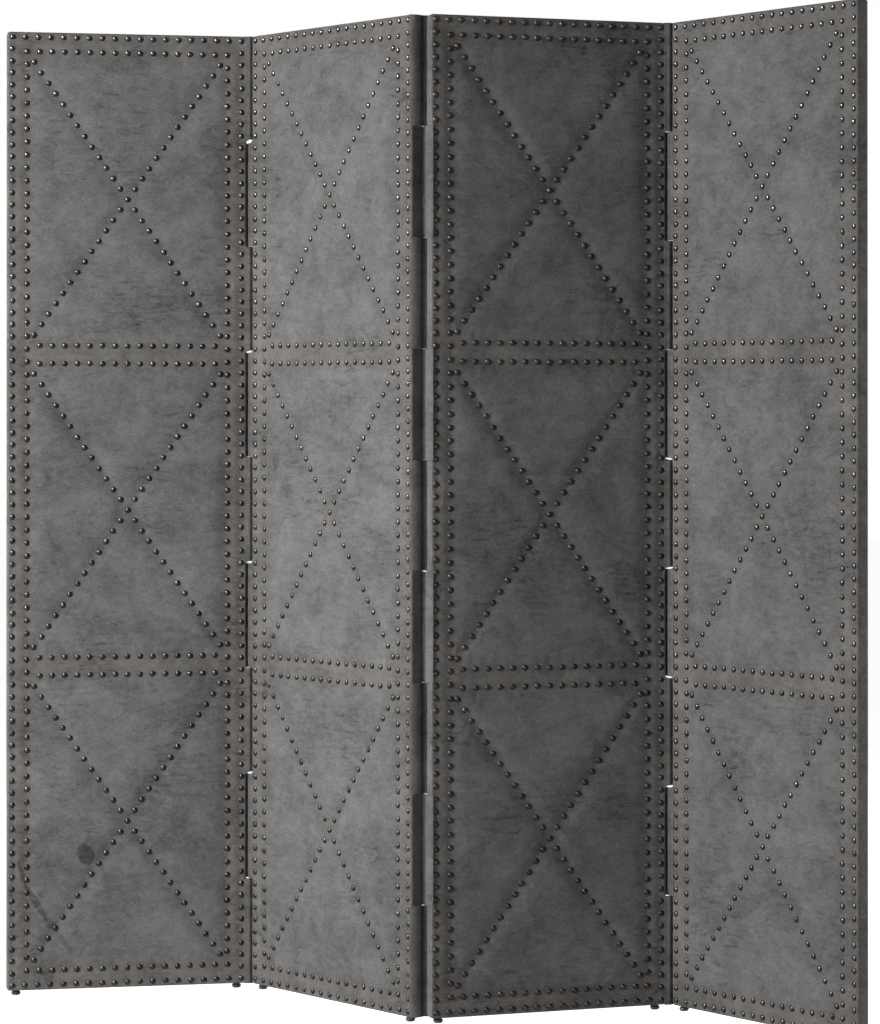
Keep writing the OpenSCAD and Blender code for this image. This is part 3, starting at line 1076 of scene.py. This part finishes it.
def finish_frame_parts():
    """Wood and board for the parts of the frame, whose shapes are the construction's own."""
    pine = (0.60, 0.42, 0.22), (0.42, 0.26, 0.12)
    upright = wood("pine_upright", *pine, 4)
    across = wood("pine_across", *pine, 4, stretch=(0.6, 0.6, 9))
    ply = wood("birch_ply", (0.66, 0.50, 0.31), (0.50, 0.35, 0.19), 3, stretch=(5, 5, 0.5))
    finishes = {"left_stile": upright, "right_stile": upright, "top_rail": across,
                "bottom_rail": across, "middle_rails": across, "front_board": ply,
                "back_board": hardboard()}
    for panel in PANELS:
        for name, made in finishes.items():
            dress(frame["nodes"][f"{name}_{panel}"], made)


# Room, light and camera

def seen_rays(tree):
    """1 for rays that show the background: from the camera, or by way of metal or glass."""
    path = node(tree, "ShaderNodeLightPath")
    mirrored = maths(tree, "MAXIMUM", path.outputs["Is Glossy Ray"], path.outputs["Is Transmission Ray"])
    return maths(tree, "MAXIMUM", path.outputs["Is Camera Ray"], mirrored)


def pale(name, shade, whiten):
    """A pale surface that keeps shadows and shows near white to the camera."""
    made, tree, shader = material(name)
    out = tree.nodes["Material Output"]
    tree.nodes.remove(shader)
    diffuse = node(tree, "ShaderNodeBsdfDiffuse")
    diffuse.inputs["Color"].default_value = (shade, shade, shade, 1)
    glow = node(tree, "ShaderNodeEmission")
    glow.inputs["Strength"].default_value = whiten
    both = node(tree, "ShaderNodeAddShader")
    pick = node(tree, "ShaderNodeMixShader")
    tree.links.new(diffuse.outputs[0], both.inputs[0])
    tree.links.new(glow.outputs[0], both.inputs[1])
    tree.links.new(seen_rays(tree), pick.inputs[0])
    tree.links.new(diffuse.outputs[0], pick.inputs[1])
    tree.links.new(both.outputs[0], pick.inputs[2])
    tree.links.new(pick.outputs[0], out.inputs["Surface"])
    return made


def room():
    clear_selection()
    bpy.ops.mesh.primitive_plane_add(size=40, location=(0, 0, 0))
    floor = added("floor")
    dress(floor, pale("pale_floor", 0.8, 0.90))
    world = bpy.context.scene.world or bpy.data.worlds.new("World")
    bpy.context.scene.world = world
    world.use_nodes = True
    tree = world.node_tree
    tree.nodes.clear()
    seen = node(tree, "ShaderNodeBackground")
    seen.inputs["Strength"].default_value = 1.0
    seen.inputs["Color"].default_value = (1, 1, 1, 1)
    fill = node(tree, "ShaderNodeBackground")
    fill.inputs["Color"].default_value = (1.0, 0.995, 0.985, 1)
    fill.inputs["Strength"].default_value = 0.08
    white = seen_rays(tree)
    pick = node(tree, "ShaderNodeMixShader")
    tree.links.new(white, pick.inputs[0])
    tree.links.new(fill.outputs[0], pick.inputs[1])
    tree.links.new(seen.outputs[0], pick.inputs[2])
    out = node(tree, "ShaderNodeOutputWorld")
    tree.links.new(pick.outputs[0], out.inputs["Surface"])


def softbox(name, place, aim, size, power, only_gloss=False):
    """A soft lamp, or one whose light shows in shiny metal alone."""
    data = bpy.data.lights.new(name, "AREA")
    data.shape = "RECTANGLE"
    data.size, data.size_y = size
    data.energy = power
    lamp = bpy.data.objects.new(name, data)
    lamp.location = place
    lamp.rotation_euler = (Vector(aim) - Vector(place)).to_track_quat("-Z", "Y").to_euler()
    lamp.visible_camera = False
    lamp.visible_diffuse = not only_gloss
    bpy.context.collection.objects.link(lamp)


def lamps():
    softbox("key_left", (-1.7, -2.3, 1.9), (-0.2, 0, 0.95), (0.7, 0.7), 31)
    softbox("low_left", (-1.95, -2.7, 0.2), (-0.2, 0, 0.6), (2.2, 0.4), 70)
    softbox("fill_right", (2.6, 0.75, 1.1), (0.4, 0, 0.95), (1.4, 2.0), 19)
    softbox("back_left", (1.9, 2.7, 1.7), (0.2, 0, 0.9), (1.2, 1.2), 58)
    softbox("back_right", (-1.6, 2.8, 1.7), (-0.2, 0, 0.9), (1.2, 1.2), 50)
    softbox("nail_glint", (-1.8, -1.9, 2.9), (-0.2, 0, 1.0), (0.6, 0.6), 560, only_gloss=True)
    softbox("nail_sheen", (-3.2, -0.7, 1.1), (0, 0, 0.95), (1.4, 2.2), 55, only_gloss=True)


def camera():
    """The photograph's view: its place and aim were fitted to the panels' corners and nail rows."""
    image_h = 1024
    focal_px = 3077.1
    horizon_row = 390.9
    sensor = 36.0
    data = bpy.data.cameras.new("photo_view")
    data.sensor_fit = "VERTICAL"
    data.sensor_height = sensor
    data.lens = focal_px / image_h * sensor
    data.shift_y = (horizon_row - image_h / 2) / image_h
    view = bpy.data.objects.new("photo_view", data)
    view.location = (1.6984, -5.4552, 1.1188)
    view.rotation_euler = (math.radians(90.273), 0, math.radians(17.202))
    bpy.context.collection.objects.link(view)
    bpy.context.scene.camera = view


camera()
build_screen()
finish_frame_parts()
room()
lamps()
bpy.context.scene.view_settings.view_transform = "Standard"
